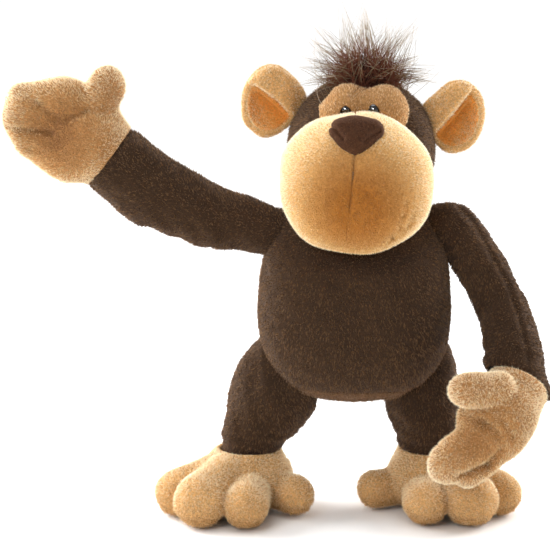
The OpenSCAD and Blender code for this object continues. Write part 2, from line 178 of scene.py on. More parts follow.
# ---------------------------------------------------------------- meshes
def solve(fn, reach, cell):
    """The surface of fn inside the box reach as vertices and quads."""
    def table(low, high, step):
        n = np.ceil((high - low) / step).astype(int) + 1
        axes = [(low[i] + step * np.arange(n[i])).astype(np.float32) for i in range(3)]
        return np.asarray(fn(np.meshgrid(*axes, indexing="ij")), np.float32)
    low, high = np.array(reach[0], float), np.array(reach[1], float)
    rough = 5.0
    near = np.argwhere(table(low, high, rough) < rough * 1.6)
    low, high = low + (near.min(0) - 1) * rough, low + (near.max(0) + 1) * rough
    band = 3 * cell
    d = np.clip(table(low, high, cell), -band, band)
    d = np.pad(d, 1, constant_values=band)
    grid = vdb.FloatGrid(band)
    grid.copyFromArray(d)
    points, tris, quads = grid.convertToPolygons(isovalue=0.0, adaptivity=0.0)
    return (points - 1) * cell + low, np.asarray(quads, np.int32)


def mesh_object(name, verts, faces, materials, marks=None, smooth=True):
    """verts are figure millimetres; faces is a list of (n, corners) arrays."""
    me = bpy.data.meshes.new(name)
    me.vertices.add(len(verts))
    me.vertices.foreach_set("co", ((verts + HOME) / 1000).astype(np.float32).ravel())
    loops = np.concatenate([f.ravel() for f in faces]).astype(np.int32)
    sizes = np.concatenate([np.full(len(f), f.shape[1]) for f in faces]).astype(np.int32)
    starts = np.concatenate([[0], np.cumsum(sizes)[:-1]]).astype(np.int32)
    me.loops.add(len(loops))
    me.loops.foreach_set("vertex_index", loops)
    me.polygons.add(len(sizes))
    me.polygons.foreach_set("loop_start", starts)
    me.update(calc_edges=True)
    me.polygons.foreach_set("use_smooth", np.full(len(sizes), smooth))
    for m in materials:
        me.materials.append(m)
    if marks is not None:
        me.polygons.foreach_set("material_index", marks.astype(np.int32))
    me.update()
    ob = bpy.data.objects.new(name, me)
    bpy.context.scene.collection.objects.link(ob)
    return ob


def slope_of(form, pts, eps=0.8):
    grad = []
    for i in range(3):
        step = [pts[:, j] + (eps if j == i else 0) for j in range(3)]
        back = [pts[:, j] - (eps if j == i else 0) for j in range(3)]
        grad.append(form(step) - form(back))
    n = np.stack(grad, 1)
    return n / np.maximum(np.linalg.norm(n, axis=1, keepdims=True), 1e-9)


def attach(ob, rule):
    """rule is a body name, which the piece is attached to, or, for cloth over a joint, (body, next body, start,
    end), whose parts are not used: such a piece only has its transform baked in and rides on no body.
    """
    if isinstance(rule, str):
        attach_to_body(ob, rule)
    else:
        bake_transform(ob)


def spikes(roots, ways, widths, rng):
    """Closed three-sided spikes, one for each root: vertices and two face arrays."""
    n = len(roots)
    side = np.cross(ways, rng.normal(size=(n, 3)))
    side /= np.maximum(np.linalg.norm(side, axis=1, keepdims=True), 1e-9)
    unit = ways / np.linalg.norm(ways, axis=1, keepdims=True)
    other = np.cross(unit, side)
    verts = np.empty((n, 4, 3))
    for k in range(3):
        turn = 2 * math.pi * k / 3
        verts[:, k] = roots + (side * math.cos(turn) + other * math.sin(turn)) * widths[:, None]
    verts[:, 3] = roots + ways
    base = np.arange(n)[:, None] * 4
    faces = np.concatenate([base + [0, 2, 1], base + [0, 1, 3], base + [1, 2, 3], base + [2, 0, 3]], 1)
    return verts.reshape(-1, 3), faces.reshape(-1, 3)


def pile(ob, form, thick, rule, slot, shades, comb, length=2.8, density=0.9, width=0.3,
         lean=42, hidden=(), floor=None, wild=0.35, tint=None, seed=0):
    """Short fibres standing on the outer side of a skin."""
    rng = np.random.default_rng(SEED + seed)
    me = ob.data
    co = np.empty(len(me.vertices) * 3, np.float32)
    me.vertices.foreach_get("co", co)
    co = co.reshape(-1, 3) * 1000 - HOME
    quads = np.empty(len(me.polygons) * 4, np.int32)
    me.polygons.foreach_get("vertices", quads)
    quads = quads.reshape(-1, 4)
    tri = np.concatenate([quads[:, [0, 1, 2]], quads[:, [0, 2, 3]]])
    a, b, c = co[tri[:, 0]], co[tri[:, 1]], co[tri[:, 2]]
    centre = (a + b + c) / 3
    outer = form([centre[:, i] for i in range(3)]) > -0.3 * thick
    a, b, c = a[outer], b[outer], c[outer]
    area = np.linalg.norm(np.cross(b - a, c - a), axis=1) / 2
    n = int(area.sum() * density)
    pick = rng.choice(len(a), n, p=area / area.sum())
    u, v = rng.random(n), rng.random(n)
    flip = u + v > 1
    u[flip], v[flip] = 1 - u[flip], 1 - v[flip]
    roots = a[pick] + (b[pick] - a[pick]) * u[:, None] + (c[pick] - a[pick]) * v[:, None]
    keep = np.ones(n, bool)
    for other in hidden:
        keep &= other([roots[:, i] for i in range(3)]) > -0.6
    if floor is not None:
        keep &= roots[:, 2] > floor
    roots = roots[keep]
    n = len(roots)
    if not n:
        return None
    normal = slope_of(form, roots)
    flow = comb(roots) if callable(comb) else np.tile(np.array(comb, float), (n, 1))
    flow = flow + rng.normal(size=(n, 3)) * wild
    flow -= normal * np.sum(flow * normal, 1, keepdims=True)
    flow /= np.maximum(np.linalg.norm(flow, axis=1, keepdims=True), 1e-6)
    tilt = np.radians(rng.normal(lean, 13, n).clip(5, 78))[:, None]
    size = 0.5 + 0.7 * rng.random(n) ** 1.4
    ways = (normal * np.cos(tilt) + flow * np.sin(tilt)) * (length * size)[:, None]
    if floor is not None:
        tip = roots[:, 2] + ways[:, 2]
        ways[:, 2] += np.maximum(0.2 - tip, 0)
    verts, faces = spikes(roots - normal * 0.35, ways, width * rng.uniform(0.75, 1.25, n), rng)
    rank = (size - 0.5) / 0.7 + rng.normal(size=n) * 0.18
    # a tint moves the pick toward darker fibres where it is low and paler ones where it is high; the callers paint
    # light and shade with it, on the muzzle and ear linings along with the cloth's own tone
    if tint:
        rank = 0.42 * rank + 0.82 * tint(roots) - 0.1
    rank = np.clip(rank, 0, 0.999)
    marks = np.repeat((rank * len(shades)).astype(np.int32), 4)
    hair = mesh_object(ob.name + ".pile", verts, [faces], shades, marks)
    attach(hair, rule)
    return hair


def panel(name, nodes, form, keep, rule, slot, materials, reach, cell=1.8, thick=3.0, fill=0.7,
          edge=0.3, **fuzz):
    """One sewn piece of cloth, as thick as the CAD skin, cut from a form by keep."""
    cloth, shades = materials

    def cut(p):
        d = form(p)
        d = np.maximum(d, -(d + thick))
        return meet(d, keep(p), edge) if keep else d
    verts, quads = solve(cut, reach, cell)
    ob = mesh_object(name, verts, [quads], [cloth])
    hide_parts(*nodes)
    attach(ob, rule)
    if fuzz:
        pile(ob, form, thick, rule, slot, shades, **fuzz)
    return ob


# ---------------------------------------------------------------- materials
def linear(c):
    c = np.array(c, float) / 255
    return np.where(c <= 0.04045, c / 12.92, ((c + 0.055) / 1.055) ** 2.4)


def warm(base):
    """Sheen half way between white and the hue of the cloth."""
    return (*(0.45 + 0.55 * base / base.max()), 1)


def new_material(name):
    m = bpy.data.materials.new(name)
    m.use_nodes = True
    return m, m.node_tree.nodes, m.node_tree.links, m.node_tree.nodes["Principled BSDF"]


def plush(name, colour, centre=None, patch=28.0, contrast=0.35, sheen=0.35, deep=0.74):
    """Backing cloth between the fibres: noise at two scales and a soft bump."""
    m, nodes, links, bsdf = new_material(name)
    base = linear(colour)
    place = nodes.new("ShaderNodeTexCoord")
    fine = nodes.new("ShaderNodeTexNoise")
    fine.inputs["Scale"].default_value = 620
    fine.inputs["Detail"].default_value = 3
    broad = nodes.new("ShaderNodeTexNoise")
    broad.inputs["Scale"].default_value = patch
    broad.inputs["Detail"].default_value = 4
    tone = nodes.new("ShaderNodeValToRGB")
    tone.color_ramp.elements[0].position = 0.32
    tone.color_ramp.elements[1].position = 0.68
    tone.color_ramp.elements[0].color = (*(base * (deep - contrast * 0.4)), 1)
    tone.color_ramp.elements[1].color = (*np.minimum(base * (1 + contrast * 0.6), 1), 1)
    wash = nodes.new("ShaderNodeMix")
    wash.data_type = "RGBA"
    wash.blend_type = "MULTIPLY"
    wash.inputs["Factor"].default_value = 0.55
    shade = nodes.new("ShaderNodeValToRGB")
    shade.color_ramp.elements[0].position = 0.3
    shade.color_ramp.elements[1].position = 0.7
    shade.color_ramp.elements[0].color = (0.62, 0.58, 0.54, 1)
    shade.color_ramp.elements[1].color = (1, 1, 1, 1)
    bump = nodes.new("ShaderNodeBump")
    bump.inputs["Strength"].default_value = 0.5
    bump.inputs["Distance"].default_value = 0.0008
    for tex in (fine, broad):
        links.new(place.outputs["Object"], tex.inputs["Vector"])
    links.new(fine.outputs["Fac"], tone.inputs["Fac"])
    links.new(broad.outputs["Fac"], shade.inputs["Fac"])
    links.new(tone.outputs["Color"], wash.inputs[6])
    links.new(shade.outputs["Color"], wash.inputs[7])
    links.new(wash.outputs[2], bsdf.inputs["Base Color"])
    # centre paints a colour that fades outward from a point by distance; on the muzzle this is partly the cloth's
    # own orange and cream, partly painted shade in the middle and painted rim light at the edge
    if centre is not None:
        inner, at, start, end = centre
        away = nodes.new("ShaderNodeVectorMath")
        away.operation = "DISTANCE"
        away.inputs[1].default_value = tuple((at + HOME) / 1000)
        spread = nodes.new("ShaderNodeMapRange")
        spread.inputs["From Min"].default_value, spread.inputs["From Max"].default_value = start, end
        centre_tone_and_painted_light = nodes.new("ShaderNodeMix")
        centre_tone_and_painted_light.data_type = "RGBA"
        centre_tone_and_painted_light.inputs[6].default_value = (*linear(inner), 1)
        links.new(place.outputs["Object"], away.inputs[0])
        links.new(away.outputs["Value"], spread.inputs["Value"])
        links.new(spread.outputs["Result"], centre_tone_and_painted_light.inputs["Factor"])
        links.new(wash.outputs[2], centre_tone_and_painted_light.inputs[7])
        links.new(centre_tone_and_painted_light.outputs[2], bsdf.inputs["Base Color"])
    links.new(fine.outputs["Fac"], bump.inputs["Height"])
    links.new(bump.outputs["Normal"], bsdf.inputs["Normal"])
    bsdf.inputs["Roughness"].default_value = 0.95
    bsdf.inputs["Specular IOR Level"].default_value = 0.15
    bsdf.inputs["Sheen Weight"].default_value = sheen
    bsdf.inputs["Sheen Roughness"].default_value = 0.45
    bsdf.inputs["Sheen Tint"].default_value = warm(base)
    return m


def fibre(name, colour, sheen=0.5):
    m, nodes, links, bsdf = new_material(name)
    bsdf.inputs["Base Color"].default_value = (*linear(colour), 1)
    bsdf.inputs["Roughness"].default_value = 0.8
    bsdf.inputs["Specular IOR Level"].default_value = 0.2
    bsdf.inputs["Sheen Weight"].default_value = sheen
    bsdf.inputs["Sheen Roughness"].default_value = 0.4
    bsdf.inputs["Sheen Tint"].default_value = warm(linear(colour))
    return m


def plush_set(name, colour, fibres, sheen, centre=None):
    """Backing cloth, and its fibres from the short dark ones to the long pale ones."""
    cloth = plush(name, colour, centre, sheen=sheen)
    return cloth, [fibre(f"{name}_fibre_{i}", c, sheen) for i, c in enumerate(fibres)]


BROWN = plush_set("brown_plush", (60, 40, 22),
                  [(50, 33, 18), (64, 44, 25), (84, 59, 34), (126, 92, 58)], 0.22)
# the hands' copy of the tan plush: its darker cloth and darkest fibres carry painted shade in the palms, its
# palest fibres painted light on the hands' edges
HAND = plush_set("hand_plush", (176, 126, 74),
                 [(136, 90, 50), (164, 114, 66), (200, 152, 94), (224, 184, 128), (242, 214, 166),
                  (255, 238, 204)], 0.35)
TAN = plush_set("tan_plush", (212, 164, 104),
                [(180, 132, 78), (206, 160, 102), (228, 188, 132), (245, 214, 166), (255, 236, 200)], 0.35)
BROW = plush_set("brow_plush", (186, 140, 88),
                 [(174, 128, 80), (194, 150, 100), (210, 168, 120), (230, 198, 154)], 0.2)
FACE_MID = vec(2, -100, 256)
# muzzle cloth: orange at FACE_MID fading to cream outward, partly its own tone and partly painted shade in the
# middle with painted rim light at the edge
CREAM = plush_set("muzzle_plush", (230, 184, 118),
                  [(160, 102, 40), (184, 128, 58), (210, 160, 88), (230, 188, 124), (244, 214, 162),
                   (254, 236, 200)], 0.35, ((168, 106, 38), FACE_MID, 0.016, 0.066))
LOBE = plush_set("ear_plush", (218, 170, 108),
                 [(198, 148, 90), (218, 174, 116), (236, 202, 148), (250, 226, 182), (255, 240, 212)], 0.35)
EAR = plush_set("ear_lining", (236, 158, 68),
                [(226, 142, 50), (238, 160, 68), (248, 192, 112), (253, 216, 156), (255, 234, 196)], 0.25)
SEAT = plush_set("seat_plush", (118, 86, 58),
                 [(106, 78, 54), (122, 90, 64), (138, 106, 78), (158, 126, 96)], 0.18)
NOSE = plush_set("nose_velour", (72, 42, 22),
                 [(56, 32, 17), (72, 43, 23), (88, 56, 32), (118, 82, 52)], 0.1)


def mixed(name, light, dark, scale, rough=(0.5, 0.8), bump=0.0004, metal=0.0, detail=4, stretch=None):
    """A noise-mottled finish for the hard and the inner parts."""
    m, nodes, links, bsdf = new_material(name)
    place = nodes.new("ShaderNodeTexCoord")
    spread = nodes.new("ShaderNodeMapping")
    spread.inputs["Scale"].default_value = stretch or (1, 1, 1)
    tex = nodes.new("ShaderNodeTexNoise")
    tex.inputs["Scale"].default_value = scale
    tex.inputs["Detail"].default_value = detail
    tone = nodes.new("ShaderNodeValToRGB")
    tone.color_ramp.elements[0].color = (*linear(dark), 1)
    tone.color_ramp.elements[1].color = (*linear(light), 1)
    tone.color_ramp.elements[0].position = 0.3
    tone.color_ramp.elements[1].position = 0.7
    rub = nodes.new("ShaderNodeMapRange")
    rub.inputs["To Min"].default_value, rub.inputs["To Max"].default_value = rough
    lift = nodes.new("ShaderNodeBump")
    lift.inputs["Strength"].default_value = 0.4
    lift.inputs["Distance"].default_value = bump
    links.new(place.outputs["Object"], spread.inputs["Vector"])
    links.new(spread.outputs["Vector"], tex.inputs["Vector"])
    links.new(tex.outputs["Fac"], tone.inputs["Fac"])
    links.new(tex.outputs["Fac"], rub.inputs["Value"])
    links.new(tex.outputs["Fac"], lift.inputs["Height"])
    links.new(tone.outputs["Color"], bsdf.inputs["Base Color"])
    links.new(rub.outputs["Result"], bsdf.inputs["Roughness"])
    links.new(lift.outputs["Normal"], bsdf.inputs["Normal"])
    bsdf.inputs["Metallic"].default_value = metal
    return m


WADDING = mixed("wadding", (236, 233, 226), (205, 201, 192), 160, (0.85, 1.0), 0.001)
STEEL = mixed("wire_steel", (176, 178, 182), (120, 122, 128), 900, (0.25, 0.45), 0.0001,
              metal=1.0, detail=2, stretch=(1, 1, 0.1))
POUCH = mixed("bean_cloth", (158, 152, 142), (118, 112, 103), 1400, (0.8, 0.95), 0.0003)
WASHER = mixed("washer_plastic", (224, 223, 218), (205, 203, 197), 300, (0.35, 0.5), 0.00005)
EYE = mixed("eye_plastic", (9, 8, 8), (3, 3, 3), 120, (0.03, 0.07), 0.00001)
EYE.node_tree.nodes["Principled BSDF"].inputs["Coat Weight"].default_value = 1.0
EYE.node_tree.nodes["Principled BSDF"].inputs["Coat Roughness"].default_value = 0.02

# ---------------------------------------------------------------- camera, floor, light
TARGET = Vector((-0.0005, 0.0245, 0.1855))
DISTANCE, RAISED = 1.7, math.radians(12)
camera = bpy.data.objects.new("camera", bpy.data.cameras.new("camera"))
camera.data.lens, camera.data.sensor_width = 142.6, 36
camera.data.clip_end = 30
camera.location = TARGET + DISTANCE * Vector((0, -math.cos(RAISED), math.sin(RAISED)))
camera.rotation_euler = (TARGET - camera.location).to_track_quat("-Z", "Y").to_euler()
bpy.context.scene.collection.objects.link(camera)
bpy.context.scene.camera = camera
bpy.context.scene.view_settings.view_transform = "Standard"

world = bpy.data.worlds.new("studio")
bpy.context.scene.world = world
world.use_nodes = True
nt = world.node_tree
soft = nt.nodes["Background"]
soft.inputs["Color"].default_value = (1, 0.99, 0.98, 1)
soft.inputs["Strength"].default_value = 0.45
seen = nt.nodes.new("ShaderNodeBackground")
seen.inputs["Color"].default_value = (1, 1, 1, 1)
seen.inputs["Strength"].default_value = 1.05
which = nt.nodes.new("ShaderNodeLightPath")
blend_in = nt.nodes.new("ShaderNodeMixShader")
nt.links.new(which.outputs["Is Camera Ray"], blend_in.inputs[0])
nt.links.new(soft.outputs[0], blend_in.inputs[1])
nt.links.new(seen.outputs[0], blend_in.inputs[2])
nt.links.new(blend_in.outputs[0], nt.nodes["World Output"].inputs[0])


def lamp(name, kind, at, aim, power, size, colour=(1, 1, 1), tall=None):
    data = bpy.data.lights.new(name, kind)
    data.energy = power
    data.color = colour
    if kind == "AREA":
        data.shape = "RECTANGLE"
        data.size, data.size_y = size, tall or size
    else:
        data.angle = math.radians(size)
    ob = bpy.data.objects.new(name, data)
    ob.location = at
    ob.rotation_euler = (Vector(aim) - Vector(at)).to_track_quat("-Z", "Y").to_euler()
    bpy.context.scene.collection.objects.link(ob)
    return ob


lamp("sun_soft", "SUN", (-0.3, 0.3, 2.0), (0, 0, 0), 2.15, 60)
lamp("rim_left", "AREA", (-1.2, 0.5, 0.55), (0, 0, 0.2), 40, 0.9, tall=1.3)
lamp("rim_right", "AREA", (1.2, 0.6, 0.55), (0, 0, 0.2), 34, 0.9, tall=1.3)
lamp("front_box", "AREA", (-0.9, -1.3, 1.1), (0, 0, 0.2), 8, 0.8, tall=0.8)
# seen only in the shine of the eyes
catch = lamp("catch_light", "AREA", (-0.25, -1.4, 0.75), (0.05, 0, 0.32), 22, 0.3, tall=0.3)
catch.visible_diffuse = False

floor_mat, fn_nodes, fn_links, floor_bsdf = new_material("floor_paper")
paper = fn_nodes.new("ShaderNodeTexNoise")
paper.inputs["Scale"].default_value = 90
paper_tone = fn_nodes.new("ShaderNodeValToRGB")
paper_tone.color_ramp.elements[0].color = (0.965, 0.965, 0.965, 1)
paper_tone.color_ramp.elements[1].color = (0.985, 0.985, 0.985, 1)
fn_links.new(paper.outputs["Fac"], paper_tone.inputs["Fac"])
fn_links.new(paper_tone.outputs["Color"], floor_bsdf.inputs["Base Color"])
floor_bsdf.inputs["Roughness"].default_value = 0.9
floor_bsdf.inputs["Specular IOR Level"].default_value = 0.1
SIDE = 6000.0
corners = np.array([[-SIDE, -SIDE, 0], [SIDE, -SIDE, 0], [SIDE, SIDE, 0], [-SIDE, SIDE, 0]])
floor = mesh_object("floor", corners, [np.array([[0, 1, 2, 3]])], [floor_mat], smooth=False)

# ---------------------------------------------------------------- the figure's forms
BELLY = vec(4, 0, 165)
SHOULDER_R, ELBOW_R, WRIST_R = PIVOT["shoulder_right"], PIVOT["elbow_right"], PIVOT["wrist_right"]
SHOULDER_L, ELBOW_L, WRIST_L = PIVOT["shoulder_left"], PIVOT["elbow_left"], PIVOT["wrist_left"]
HIP_R, HIP_L = PIVOT["hip_right"], PIVOT["hip_left"]
ANKLE_R, ANKLE_L = PIVOT["ankle_right"], PIVOT["ankle_left"]
MUZZLE, MUZZLE_HALF = vec(1.2, -64, 269.6), vec(57.8, 43.5, 52.8) - UNDER * 0.8


def torso(p):
    x, y, z = p
    high = np.where(z > BELLY[2], 93.0, 79.0) - UNDER
    chest = 1 - 0.55 * ramp(195, 250, z)
    deep = np.where(y < 0, (63 - UNDER) * chest, 63.0 - UNDER)
    d = cushion((x - BELLY[0], y, z - BELLY[2]), (75.5 - UNDER, deep, high), 2.6)
    d = d + lumps(p, 60, 0.9, 1) + lumps(p, 18, 0.25, 2)
    d = d + groove(y, 1.3, 2.6) + groove(z - SEAT_SEAM, 1.5, 2.4)
    d = d + np.where(y < 0, groove(x - BELLY[0] - 3, 0.5, 1.8), groove(x - BELLY[0], 1.2, 2.2))
    return d


SEAT_SEAM = 101.0


def head(p):
    d = egg((p[0] - NECK[0], p[1] - NECK[1], p[2] - NECK[2]), vec(58, 58, 58) - UNDER)
    return d + lumps(p, 40, 0.7, 3) + groove(p[0] - NECK[0], 0.6, 1.8) * (p[1] > -10)


def brow(p):
    wide = egg((p[0] + 3.0, p[1] + 38.5, p[2] - 317.5), vec(20, 18.5, 23.5) - UNDER * 0.7)
    wide = join(wide, egg((p[0] + 13, p[1] + 38.5, p[2] - 309), vec(20.5, 18.5, 18) - UNDER * 0.7), 8)
    slim = egg((p[0] - 23.5, p[1] + 38.5, p[2] - 318), vec(19.0, 18.5, 22.5) - UNDER * 0.7)
    return join(wide, slim, 9) + lumps(p, 22, 0.35, 4)


def muzzle(p):
    q = [p[i] - MUZZLE[i] for i in range(3)]
    q[0] = q[0] / (1 - 0.085 * ramp(288, 312, p[2]))
    d = cushion(q, MUZZLE_HALF, 2.32)
    d = d + lumps(p, 46, 0.8, 5)
    front = ramp(-58, -70, p[1])
    seam = p[0] - muzzle_mid(p[2])
    d = d + front * groove(seam, 1.5, 1.6) * ramp(240, 288, p[2])
    d = d + groove(chin_side(p), 0.9, 1.8)
    for crease in CREASES:
        for a, b in zip(crease[:-1], crease[1:]):
            d = d + front * groove(along(p, a, b), 1.8, 2.2)
    return d


CREASES = [[(37, 260), (35.5, 250), (33, 241), (28, 233), (22, 228)], [(43, 252), (40, 243), (34, 235)]]


def muzzle_mid(z):
    """X of the seam between the two muzzle cheeks: it leans with the head."""
    return -1.2 + (z - 291) * 0.09


def chin_side(p):
    """Positive behind the sloping seam round the muzzle."""
    return plane(p, (0, -86, 219), (0, math.cos(math.radians(30)), -0.5))


NOSE_MID = middle("nose")[0]
NOSE_TILT = -38.0


def nose(p):
    q = turned(p, NOSE_MID + vec(0, 0.5, 0), "X", NOSE_TILT)
    u, v = q[0], q[2]
    corners = [vec(-10.8, 3.6), vec(11.6, 3.2), vec(-1.2, -6.6)]
    d, inside = None, None
    for i in range(3):
        a, b = corners[i], corners[(i + 1) % 3]
        s = reach_of(u, v, a, b)
        e = b - a
        d = s if d is None else np.minimum(d, s)
        turn = (u - a[0]) * e[1] - (v - a[1]) * e[0]
        inside = turn if inside is None else np.maximum(inside, turn)
    flat = join(np.where(inside < 0, -d, d), np.sqrt(u * u + (v + 0.5) ** 2) - 5.5, 6) - 8.6
    round_r = 12.5
    d = np.sqrt(np.maximum(flat + round_r, 0) ** 2 + (q[1] * round_r / 10.5) ** 2) - round_r
    for a, b in ((vec(-18.5, 6.5), vec(-9, -7.5)), (vec(17, 0.5), vec(5.5, -9.5))):
        d = d + groove(reach_of(u, v, a, b), 2.0, 1.1)
    return d + lumps(p, 14, 0.25, 6)


def reach_of(u, v, a, b):
    """Distance of (u, v) from the segment a-b."""
    e = b - a
    t = np.clip(((u - a[0]) * e[0] + (v - a[1]) * e[1]) / float(e @ e), 0, 1)
    return np.sqrt((u - a[0] - e[0] * t) ** 2 + (v - a[1] - e[1] * t) ** 2)


ARM_R = [(-46, -2, 222, 18.5), (*SHOULDER_R, 19.5), (-88, -3, 228, 23), (-111.5, -3, 234, 25.7),
         (*ELBOW_R, 27.5), (-152, -3, 253.5, 29.3), (-170, -3, 266.5, 28.8), (-186, -3, 279.5, 28.8),
         (-200, -3, 290, 29)]
ARM_L = [(72, -3, 226, 18), (*SHOULDER_L, 20.6), (100, -10, 194, 20.4), (116.5, -15, 167, 20.6),
         (122, -34, 143, 22.8), (127, -57, 112, 25.2), (129, -66, 98, 25.0)]


def less(rows, by):
    return [(*r[:3], r[3] - by) for r in rows]


def arm_right(p):
    d = limb(p, less(ARM_R, UNDER)) + lumps(p, 34, 1.0, 7) + lumps(p, 13, 0.35, 8)
    low = ramp(240, 225, p[2]) * ramp(-90, -110, p[0]) * ramp(-178, -160, p[0])
    d = d + low * 0.9 * np.sin((p[0] * 0.8 + p[2] * 0.5) * 0.42)
    return d + groove(plane(p, WRIST_SEAM_R[0], WRIST_SEAM_R[1]), 1.2, 2.4)


def arm_left(p):
    d = limb(p, less(ARM_L, UNDER)) + lumps(p, 30, 0.8, 9) + lumps(p, 12, 0.3, 10)
    d = d + groove(seam_left(p), 2.0, 1.9) * (p[1] < -6)
    crumple = ramp(150, 132, p[2]) * ramp(122, 112, p[0])
    d = d + crumple * 1.0 * np.sin((p[2] + 0.3 * p[0]) * 0.55)
    return d + groove(plane(p, WRIST_SEAM_L[0], WRIST_SEAM_L[1]), 1.2, 2.4)


def seam_left(p):
    """Distance in front view from the seam that runs down the left sleeve."""
    rows = spline([(84, 240), (96, 226), (108, 205), (121, 182), (128, 160), (133, 135)], 3)
    d = None
    for a, b in zip(rows[:-1], rows[1:]):
        e = along(p, a, b)
        d = e if d is None else np.minimum(d, e)
    return d


WRIST_SEAM_R = (vec(-185.5, -3, 279.5), vec(-0.8, 0, 0.6))
WRIST_SEAM_L = (vec(127.5, -57, 114), vec(-0.45, -0.56, -0.72) / 1.0175)


def hand_right(p):
    d = rod(p, vec(-180, -3, 276), vec(-205, -3, 295), 28.6, 31.0)
    d = join(d, egg((p[0] + 216, p[1] + 3, p[2] - 302), vec(38, 22, 39)), 10)
    fingers = [((-222, -4, 322), (-248, -5, 321), 21.5, 17.5),
               ((-228, -5, 306), (-252.5, -6, 307), 18.0, 15.8),
               ((-216, -3, 287), (-245, -4, 293), 27.0, 16.0)]
    f = None
    for a, b, ra, rb in fingers:
        e = rod(p, vec(*a), vec(*b), ra, rb)
        f = e if f is None else join(f, e, 9)
    d = join(d, f, 6) + UNDER
    d = join(d, rod(p, vec(-204, -4, 306), vec(-187, -7, 334), 17.5, 15.8) + UNDER, 4.0)
    palm = ramp(-4, -14, p[1])
    for a, b, deep, wide in (((-229, 300), (-262, 304), 3.6, 2.6), ((-224, 311), (-237, 322), 3.0, 3.6),
                             ((-237, 322), (-252, 330), 2.4, 3.4), ((-216, 311), (-200, 317), 2.6, 2.8),
                             ((-234, 285), (-250, 288), 1.6, 3.0)):
        d = d + groove(along(p, a, b), deep, wide) * palm
    d = d + groove(np.sqrt((p[0] + 233) ** 2 + (p[2] - 303) ** 2), 3.5, 17) * palm
    d = d + groove(p[1] + 3, 0.8, 2.0)
    return d + lumps(p, 36, 1.1, 61) + lumps(p, 20, 0.5, 11)


def hand_left(p):
    d = rod(p, vec(128, -56, 114), vec(117, -77, 98), 24.4, 24.6)
    d = join(d, egg((p[0] - 107, p[1] + 80, p[2] - 88), vec(30, 23, 29)), 8)
    f = rod(p, vec(98, -86, 80), vec(71.5, -94, 61), 19.0, 16.8)
    f = join(f, rod(p, vec(108, -80, 71), vec(86.5, -87, 54.5), 16.5, 14.9), 1.6)
    f = join(f, rod(p, vec(112, -68, 74), vec(84, -72, 60), 16.0, 13.0), 3.0)
    d = join(d, f, 4) + UNDER
    d = join(d, rod(p, vec(108, -86, 115.5), vec(83.5, -98, 119), 15.4, 14.0) + UNDER, 2.0)
    for a, b, deep in (((78, 55), (100, 60.5), 3.6), ((100, 60.5), (110, 73), 3.4),
                       ((84, 99), (98, 94), 2.6), ((98, 94), (108, 87), 2.6),
                       ((112, 96), (119, 84), 2.2)):
        d = d + groove(along(p, a, b), deep, 3.0) * ramp(-76, -84, p[1])
    return d + lumps(p, 22, 0.5, 12)


LEG_R = [(-44, 8, 128, 26), (-52, 8, 111, 30.5), (-60, 6, 88, 34.5), (-71, 2, 66, 28.2),
         (-76.5, 0, 52, 25.2), (-77, 0, 38, 25.2)]
LEG_L = [(46, 9, 128, 27), (54, 8, 110, 30.5), (58.5, 6, 88, 31.5), (61.5, 2, 68, 27.0),
         (62.5, 0, 52, 24.6), (62.5, 0, 38, 24.8)]
CUFF = 47.0             # height of the seam between a leg and its foot


def leg(rows, seed):
    def form(p):
        d = limb(p, less(rows, UNDER)) + lumps(p, 30, 1.0, seed) + lumps(p, 12, 0.3, seed + 1)
        fold = ramp(72, 58, p[2]) * 0.7 * np.sin(p[2] * 0.62 + p[0] * 0.12)
        side = 1 if rows[1][0] > 0 else -1
        d = d + groove(p[1] - 0.03 * p[2], 1.0, 2.0) * (p[0] * side > abs(rows[2][0]))
        return d + fold + groove(p[2] - CUFF, 0.4, 2.0)
    return form


# A toe is the X (inner side positive) and Y of its tip from the ankle, and its radius;
# the first one of a foot is its thumb
TOES_R = [(34, -32, 16.6), (-4, -62, 19.0), (-39, -58, 21.5), (-57, -31, 19.5)]
TOES_L = [(41, -15, 16.0), (4, -54, 18.5), (-31, -55, 21.5), (-55, -30, 18.5)]
TOE_ROOTS = (17, 19, 27, 26)    # height that each toe starts from inside the foot
SOLE_SEAM = 9.0


def foot(ankle, side, toes, seed):
    def form(p):
        q = [(p[0] - ankle[0]) * side, p[1] - ankle[1], p[2]]
        d = rod(q, vec(0, 0, 60), vec(-2, -3, 34), 23.4, 25.6)
        d = join(d, egg((q[0] + 5, q[1] + 6, q[2] - 23), vec(39, 39, 29)), 9)
        for i, (x, y, r) in enumerate(toes):
            thumb = i == 0
            root = vec(x * (0.25 if thumb else 0.5), y * 0.4 + (6 if thumb else -3), TOE_ROOTS[i])
            d = join(d, rod(q, root, vec(x, y, r * (1.0 if thumb else 0.92)), r, r), 2.4)
        d = d + UNDER
        d = meet(d, -(q[2] - 0.6), 5.0)
        rim = ramp(-10, -40, q[1])
        d = d + groove(q[2] - SOLE_SEAM, 0.9, 1.6) * rim
        return d + lumps(p, 22, 0.5, seed)
    return form


foot_right, foot_left = foot(ANKLE_R, 1, TOES_R, 21), foot(ANKLE_L, -1, TOES_L, 22)
leg_right, leg_left = leg(LEG_R, 31), leg(LEG_L, 33)

# An ear: middle, half size across, half height, lean, and the lower edge of its folded top
EARS = {"right": dict(sign=-1, at=vec(-62.8, 5, 321.2), wide=22.6, tall=29.4, lean=10,
                      fold=((-81, 334), (-68, 332), (-42, 309))),
        "left": dict(sign=1, at=vec(81.5, 5, 309.2), wide=22.6, tall=29.6, lean=8,
                     fold=((94, 333), (84, 321), (63, 297)))}


